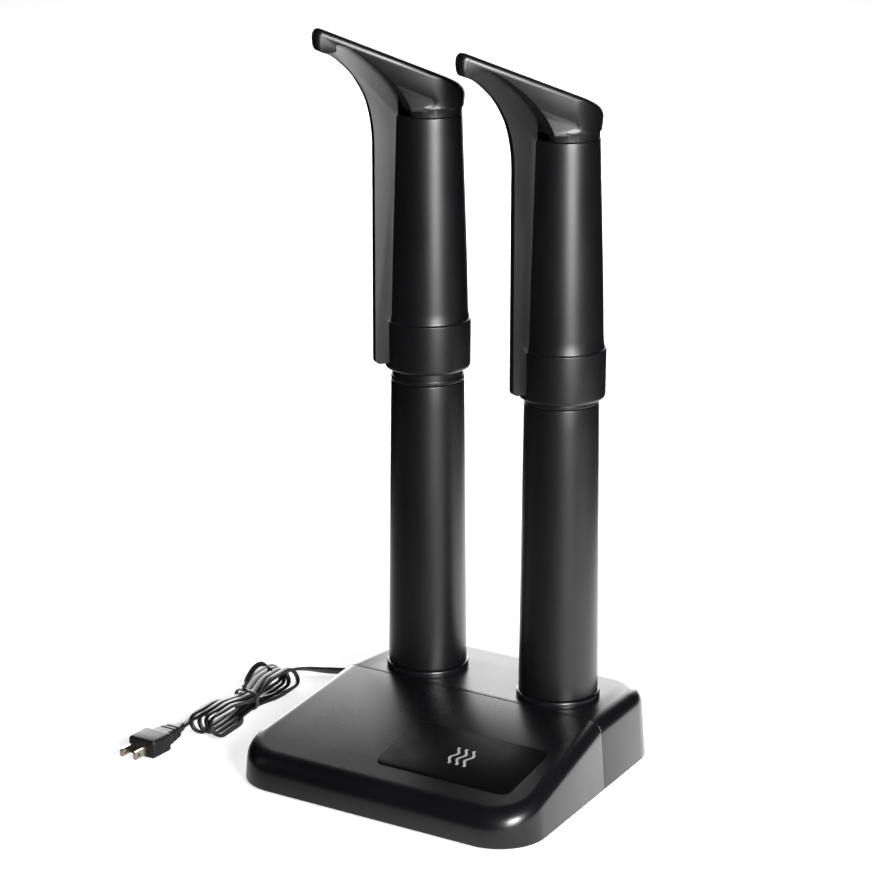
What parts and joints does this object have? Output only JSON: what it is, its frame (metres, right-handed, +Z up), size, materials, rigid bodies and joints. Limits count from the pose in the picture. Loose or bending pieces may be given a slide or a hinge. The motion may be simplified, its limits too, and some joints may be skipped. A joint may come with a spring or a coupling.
{
  "type": "boot dryer",
  "caption": "Upright boot dryer: a low sloped base with heaters warms air that rises through tubes and hooded, finned boot trees.",
  "frame": {"origin": "on the floor under the middle of the base, at the bottom of the feet", "axes": "+Z up along the tubes; -Y is the low, sloping front of the base; +X is to the right seen from the front"},
  "size_m": [0.3502, 0.3087, 0.5552],
  "materials": {
    "base_shell": "satin black moulded plastic",
    "tube_shell": "satin black moulded plastic with a soft sheen",
    "label": "printed plastic plate with a plain wave design",
    "rubber": "matt moulded rubber",
    "steel": "zinc plated",
    "brass": "bright formed brass",
    "ceramic": "unglazed steatite",
    "heating_wire": "oxidised resistance wire",
    "cord_jacket": "smooth black vinyl jacket",
    "plug": "smooth black moulded vinyl",
    "tie": "black coated wire tie",
    "inner_lead": "glass-fibre sleeved wire"
  },
  "bodies": {
    "base": {"front_housing": "base_shell", "rear_housing": "base_shell", "left_collar": "tube_shell", "right_collar": "tube_shell", "label_plate": "label", "bottom_plate": "base_shell", "foot_front_left": "rubber", "foot_front_right": "rubber", "foot_rear_left": "rubber", "foot_rear_right": "rubber", "housing_screw_1": "steel", "housing_screw_2": "steel", "housing_screw_3": "steel", "housing_screw_4": "steel", "left_heater_bracket": "steel", "left_heater_core": "ceramic", "left_heater_coil": "heating_wire", "left_bracket_rivet_1": "steel", "left_bracket_rivet_2": "steel", "right_heater_bracket": "steel", "right_heater_core": "ceramic", "right_heater_coil": "heating_wire", "right_bracket_rivet_1": "steel", "right_bracket_rivet_2": "steel", "thermal_cutoff": "steel", "crimp_live": "brass", "crimp_neutral": "brass", "cord_core_live": "inner_lead", "cord_core_neutral": "inner_lead", "lead_to_cutoff": "inner_lead", "lead_to_right_heater": "inner_lead", "lead_between_heaters": "inner_lead", "lead_to_left_heater": "inner_lead", "strain_relief": "rubber", "cord_lead": "cord_jacket", "cord_hank": "cord_jacket", "cord_tie": "tie", "plug_lead": "cord_jacket", "plug_body": "plug", "plug_blade_1": "brass", "plug_blade_2": "brass"},
    "left_extension": {"left_extension_tube": "tube_shell"},
    "left_coupling": {"left_coupling": "tube_shell"},
    "left_tree": {"left_tree_tube": "tube_shell", "left_hood": "tube_shell"},
    "right_extension": {"right_extension_tube": "tube_shell"},
    "right_coupling": {"right_coupling": "tube_shell"},
    "right_tree": {"right_tree_tube": "tube_shell", "right_hood": "tube_shell"}
  },
  "joints": [
    {"name": "left_extension_lift", "type": "slide", "parent": "base", "child": "left_extension", "axis": [0, 0, 1], "range_m": [0, 0.04]},
    {"name": "left_tree_turn", "type": "hinge", "parent": "left_extension", "child": "left_coupling", "pos_m": [-0.0585, 0.05275, 0.286], "axis": [0, 0, 1], "range_deg": [-146, 64]},
    {"name": "left_tree_lift", "type": "slide", "parent": "left_coupling", "child": "left_tree", "axis": [0, 0, 1], "range_m": [0, 0.045]},
    {"name": "right_extension_lift", "type": "slide", "parent": "base", "child": "right_extension", "axis": [0, 0, 1], "range_m": [0, 0.04]},
    {"name": "right_tree_turn", "type": "hinge", "parent": "right_extension", "child": "right_coupling", "pos_m": [0.0585, 0.05275, 0.286], "axis": [0, 0, 1], "range_deg": [-3, 207]},
    {"name": "right_tree_lift", "type": "slide", "parent": "right_coupling", "child": "right_tree", "axis": [0, 0, 1], "range_m": [0, 0.05]}
  ]
}
